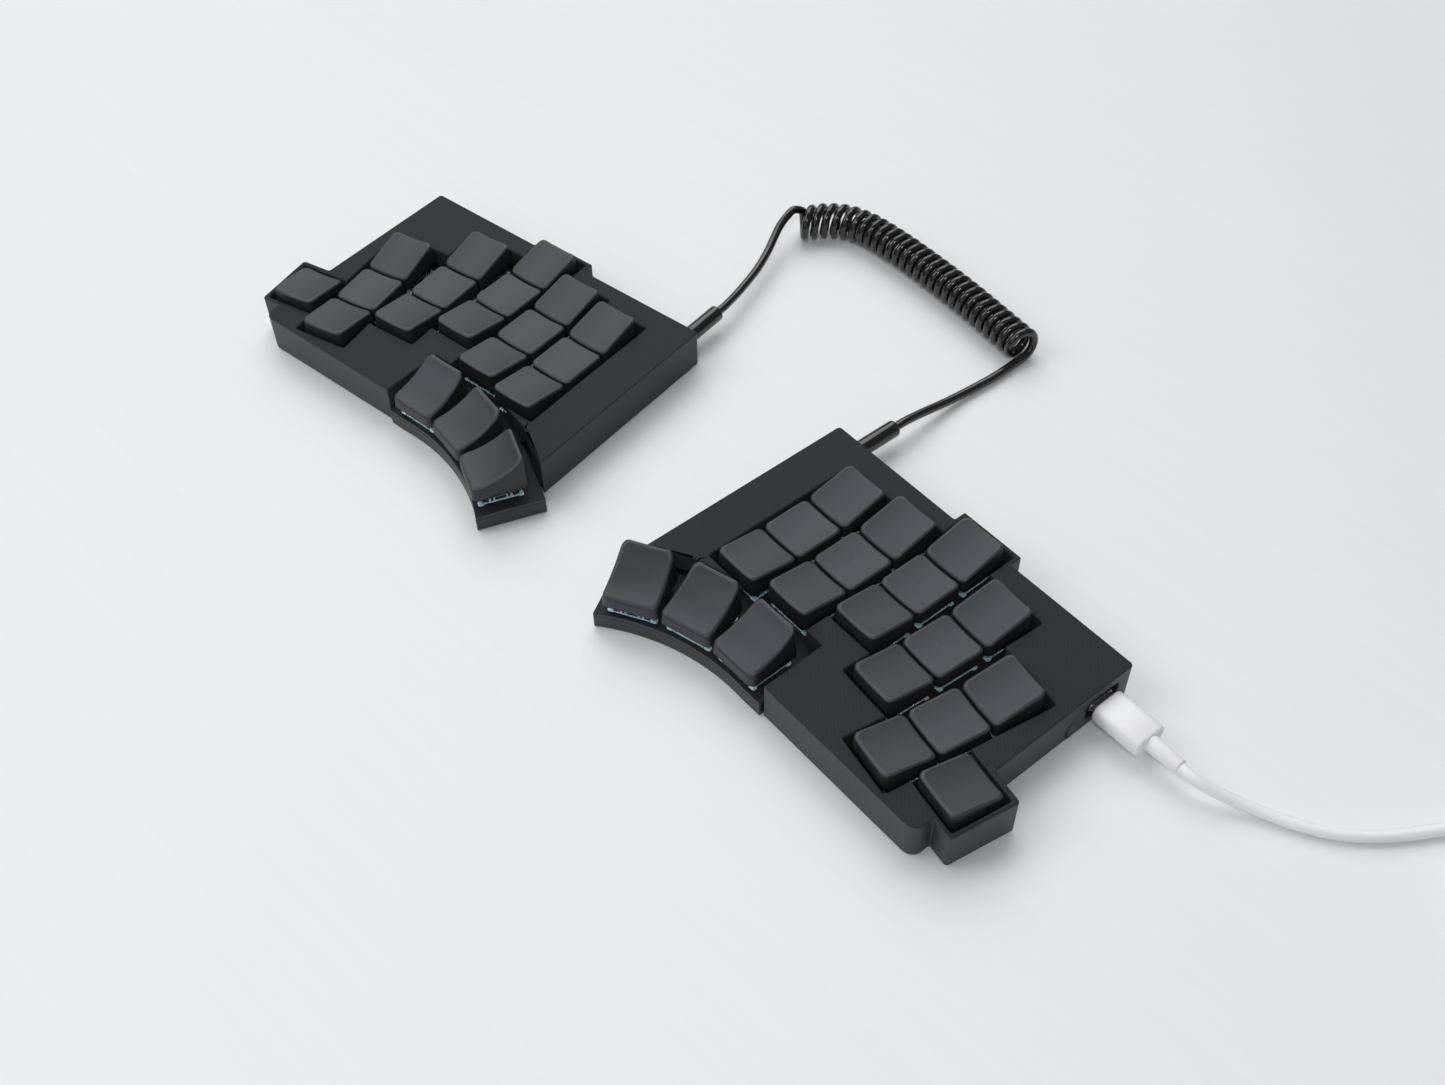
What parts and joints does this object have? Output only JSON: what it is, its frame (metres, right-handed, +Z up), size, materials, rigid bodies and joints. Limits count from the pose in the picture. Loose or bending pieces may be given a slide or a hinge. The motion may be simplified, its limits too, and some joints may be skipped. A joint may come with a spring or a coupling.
{
  "type": "split ergonomic keyboard",
  "caption": "Split ergonomic keyboard: mirrored low halves with splayed sprung keys and a thumb fan, joined by a curly link cable, with a host cable and plug.",
  "frame": {"origin": "centre of the two halves' footprint on the desk", "axes": "+X from the left half to the right half, +Y away from the user, +Z up from the desk"},
  "size_m": [0.4375, 0.1859, 0.0213],
  "materials": {
    "case": "matt layered print",
    "keycap": "smooth satin",
    "switch": "clear pale blue",
    "board": "satin",
    "steel": "plain",
    "link_cable": "glossy",
    "host_cable": "satin"
  },
  "bodies": {
    "halves": {"left_cover": "case", "right_cover": "case", "left_tray": "case", "right_tray": "case", "left_plate": "case", "right_plate": "case", "left_switches": "switch", "right_switches": "switch", "boards": "board", "controllers": "board", "usb_sockets": "steel", "link_sockets": "board", "left_screws": "steel", "right_screws": "steel", "link_plugs": "link_cable", "link_leads": "link_cable", "link_curls": "link_cable", "usb_plug": "host_cable", "usb_cord": "host_cable", "usb_coil": "host_cable", "coil_tie": "link_cable", "host_plug": "host_cable"},
    "left_key_inner_far": {"left_key_inner_far": "keycap"},
    "left_key_inner_home": {"left_key_inner_home": "keycap"},
    "left_key_inner_near": {"left_key_inner_near": "keycap"},
    "left_key_index_far": {"left_key_index_far": "keycap"},
    "left_key_index_home": {"left_key_index_home": "keycap"},
    "left_key_index_near": {"left_key_index_near": "keycap"},
    "left_key_middle_far": {"left_key_middle_far": "keycap"},
    "left_key_middle_home": {"left_key_middle_home": "keycap"},
    "left_key_middle_near": {"left_key_middle_near": "keycap"},
    "left_key_ring_far": {"left_key_ring_far": "keycap"},
    "left_key_ring_home": {"left_key_ring_home": "keycap"},
    "left_key_ring_near": {"left_key_ring_near": "keycap"},
    "left_key_pinky_far": {"left_key_pinky_far": "keycap"},
    "left_key_pinky_home": {"left_key_pinky_home": "keycap"},
    "left_key_pinky_near": {"left_key_pinky_near": "keycap"},
    "left_key_outer": {"left_key_outer": "keycap"},
    "left_key_thumb_1": {"left_key_thumb_1": "keycap"},
    "left_key_thumb_2": {"left_key_thumb_2": "keycap"},
    "left_key_thumb_3": {"left_key_thumb_3": "keycap"},
    "right_key_inner_far": {"right_key_inner_far": "keycap"},
    "right_key_inner_home": {"right_key_inner_home": "keycap"},
    "right_key_inner_near": {"right_key_inner_near": "keycap"},
    "right_key_index_far": {"right_key_index_far": "keycap"},
    "right_key_index_home": {"right_key_index_home": "keycap"},
    "right_key_index_near": {"right_key_index_near": "keycap"},
    "right_key_middle_far": {"right_key_middle_far": "keycap"},
    "right_key_middle_home": {"right_key_middle_home": "keycap"},
    "right_key_middle_near": {"right_key_middle_near": "keycap"},
    "right_key_ring_far": {"right_key_ring_far": "keycap"},
    "right_key_ring_home": {"right_key_ring_home": "keycap"},
    "right_key_ring_near": {"right_key_ring_near": "keycap"},
    "right_key_pinky_far": {"right_key_pinky_far": "keycap"},
    "right_key_pinky_home": {"right_key_pinky_home": "keycap"},
    "right_key_pinky_near": {"right_key_pinky_near": "keycap"},
    "right_key_outer": {"right_key_outer": "keycap"},
    "right_key_thumb_1": {"right_key_thumb_1": "keycap"},
    "right_key_thumb_2": {"right_key_thumb_2": "keycap"},
    "right_key_thumb_3": {"right_key_thumb_3": "keycap"}
  },
  "joints": [
    {"name": "left_press_inner_far", "type": "slide", "parent": "halves", "child": "left_key_inner_far", "axis": [0, 0, -1], "range_m": [0, 0.003], "stiffness_N_per_m": 120, "springref_m": -0.0015},
    {"name": "left_press_inner_home", "type": "slide", "parent": "halves", "child": "left_key_inner_home", "axis": [0, 0, -1], "range_m": [0, 0.003], "stiffness_N_per_m": 120, "springref_m": -0.0015},
    {"name": "left_press_inner_near", "type": "slide", "parent": "halves", "child": "left_key_inner_near", "axis": [0, 0, -1], "range_m": [0, 0.003], "stiffness_N_per_m": 120, "springref_m": -0.0015},
    {"name": "left_press_index_far", "type": "slide", "parent": "halves", "child": "left_key_index_far", "axis": [0, 0, -1], "range_m": [0, 0.003], "stiffness_N_per_m": 120, "springref_m": -0.0015},
    {"name": "left_press_index_home", "type": "slide", "parent": "halves", "child": "left_key_index_home", "axis": [0, 0, -1], "range_m": [0, 0.003], "stiffness_N_per_m": 120, "springref_m": -0.0015},
    {"name": "left_press_index_near", "type": "slide", "parent": "halves", "child": "left_key_index_near", "axis": [0, 0, -1], "range_m": [0, 0.003], "stiffness_N_per_m": 120, "springref_m": -0.0015},
    {"name": "left_press_middle_far", "type": "slide", "parent": "halves", "child": "left_key_middle_far", "axis": [0, 0, -1], "range_m": [0, 0.003], "stiffness_N_per_m": 120, "springref_m": -0.0015},
    {"name": "left_press_middle_home", "type": "slide", "parent": "halves", "child": "left_key_middle_home", "axis": [0, 0, -1], "range_m": [0, 0.003], "stiffness_N_per_m": 120, "springref_m": -0.0015},
    {"name": "left_press_middle_near", "type": "slide", "parent": "halves", "child": "left_key_middle_near", "axis": [0, 0, -1], "range_m": [0, 0.003], "stiffness_N_per_m": 120, "springref_m": -0.0015},
    {"name": "left_press_ring_far", "type": "slide", "parent": "halves", "child": "left_key_ring_far", "axis": [0, 0, -1], "range_m": [0, 0.003], "stiffness_N_per_m": 120, "springref_m": -0.0015},
    {"name": "left_press_ring_home", "type": "slide", "parent": "halves", "child": "left_key_ring_home", "axis": [0, 0, -1], "range_m": [0, 0.003], "stiffness_N_per_m": 120, "springref_m": -0.0015},
    {"name": "left_press_ring_near", "type": "slide", "parent": "halves", "child": "left_key_ring_near", "axis": [0, 0, -1], "range_m": [0, 0.003], "stiffness_N_per_m": 120, "springref_m": -0.0015},
    {"name": "left_press_pinky_far", "type": "slide", "parent": "halves", "child": "left_key_pinky_far", "axis": [0, 0, -1], "range_m": [0, 0.003], "stiffness_N_per_m": 120, "springref_m": -0.0015},
    {"name": "left_press_pinky_home", "type": "slide", "parent": "halves", "child": "left_key_pinky_home", "axis": [0, 0, -1], "range_m": [0, 0.003], "stiffness_N_per_m": 120, "springref_m": -0.0015},
    {"name": "left_press_pinky_near", "type": "slide", "parent": "halves", "child": "left_key_pinky_near", "axis": [0, 0, -1], "range_m": [0, 0.003], "stiffness_N_per_m": 120, "springref_m": -0.0015},
    {"name": "left_press_outer", "type": "slide", "parent": "halves", "child": "left_key_outer", "axis": [0, 0, -1], "range_m": [0, 0.003], "stiffness_N_per_m": 120, "springref_m": -0.0015},
    {"name": "left_press_thumb_1", "type": "slide", "parent": "halves", "child": "left_key_thumb_1", "axis": [0, 0, -1], "range_m": [0, 0.003], "stiffness_N_per_m": 120, "springref_m": -0.0015},
    {"name": "left_press_thumb_2", "type": "slide", "parent": "halves", "child": "left_key_thumb_2", "axis": [0, 0, -1], "range_m": [0, 0.003], "stiffness_N_per_m": 120, "springref_m": -0.0015},
    {"name": "left_press_thumb_3", "type": "slide", "parent": "halves", "child": "left_key_thumb_3", "axis": [0, 0, -1], "range_m": [0, 0.003], "stiffness_N_per_m": 120, "springref_m": -0.0015},
    {"name": "right_press_inner_far", "type": "slide", "parent": "halves", "child": "right_key_inner_far", "axis": [0, 0, -1], "range_m": [0, 0.003], "stiffness_N_per_m": 120, "springref_m": -0.0015},
    {"name": "right_press_inner_home", "type": "slide", "parent": "halves", "child": "right_key_inner_home", "axis": [0, 0, -1], "range_m": [0, 0.003], "stiffness_N_per_m": 120, "springref_m": -0.0015},
    {"name": "right_press_inner_near", "type": "slide", "parent": "halves", "child": "right_key_inner_near", "axis": [0, 0, -1], "range_m": [0, 0.003], "stiffness_N_per_m": 120, "springref_m": -0.0015},
    {"name": "right_press_index_far", "type": "slide", "parent": "halves", "child": "right_key_index_far", "axis": [0, 0, -1], "range_m": [0, 0.003], "stiffness_N_per_m": 120, "springref_m": -0.0015},
    {"name": "right_press_index_home", "type": "slide", "parent": "halves", "child": "right_key_index_home", "axis": [0, 0, -1], "range_m": [0, 0.003], "stiffness_N_per_m": 120, "springref_m": -0.0015},
    {"name": "right_press_index_near", "type": "slide", "parent": "halves", "child": "right_key_index_near", "axis": [0, 0, -1], "range_m": [0, 0.003], "stiffness_N_per_m": 120, "springref_m": -0.0015},
    {"name": "right_press_middle_far", "type": "slide", "parent": "halves", "child": "right_key_middle_far", "axis": [0, 0, -1], "range_m": [0, 0.003], "stiffness_N_per_m": 120, "springref_m": -0.0015},
    {"name": "right_press_middle_home", "type": "slide", "parent": "halves", "child": "right_key_middle_home", "axis": [0, 0, -1], "range_m": [0, 0.003], "stiffness_N_per_m": 120, "springref_m": -0.0015},
    {"name": "right_press_middle_near", "type": "slide", "parent": "halves", "child": "right_key_middle_near", "axis": [0, 0, -1], "range_m": [0, 0.003], "stiffness_N_per_m": 120, "springref_m": -0.0015},
    {"name": "right_press_ring_far", "type": "slide", "parent": "halves", "child": "right_key_ring_far", "axis": [0, 0, -1], "range_m": [0, 0.003], "stiffness_N_per_m": 120, "springref_m": -0.0015},
    {"name": "right_press_ring_home", "type": "slide", "parent": "halves", "child": "right_key_ring_home", "axis": [0, 0, -1], "range_m": [0, 0.003], "stiffness_N_per_m": 120, "springref_m": -0.0015},
    {"name": "right_press_ring_near", "type": "slide", "parent": "halves", "child": "right_key_ring_near", "axis": [0, 0, -1], "range_m": [0, 0.003], "stiffness_N_per_m": 120, "springref_m": -0.0015},
    {"name": "right_press_pinky_far", "type": "slide", "parent": "halves", "child": "right_key_pinky_far", "axis": [0, 0, -1], "range_m": [0, 0.003], "stiffness_N_per_m": 120, "springref_m": -0.0015},
    {"name": "right_press_pinky_home", "type": "slide", "parent": "halves", "child": "right_key_pinky_home", "axis": [0, 0, -1], "range_m": [0, 0.003], "stiffness_N_per_m": 120, "springref_m": -0.0015},
    {"name": "right_press_pinky_near", "type": "slide", "parent": "halves", "child": "right_key_pinky_near", "axis": [0, 0, -1], "range_m": [0, 0.003], "stiffness_N_per_m": 120, "springref_m": -0.0015},
    {"name": "right_press_outer", "type": "slide", "parent": "halves", "child": "right_key_outer", "axis": [0, 0, -1], "range_m": [0, 0.003], "stiffness_N_per_m": 120, "springref_m": -0.0015},
    {"name": "right_press_thumb_1", "type": "slide", "parent": "halves", "child": "right_key_thumb_1", "axis": [0, 0, -1], "range_m": [0, 0.003], "stiffness_N_per_m": 120, "springref_m": -0.0015},
    {"name": "right_press_thumb_2", "type": "slide", "parent": "halves", "child": "right_key_thumb_2", "axis": [0, 0, -1], "range_m": [0, 0.003], "stiffness_N_per_m": 120, "springref_m": -0.0015},
    {"name": "right_press_thumb_3", "type": "slide", "parent": "halves", "child": "right_key_thumb_3", "axis": [0, 0, -1], "range_m": [0, 0.003], "stiffness_N_per_m": 120, "springref_m": -0.0015}
  ]
}
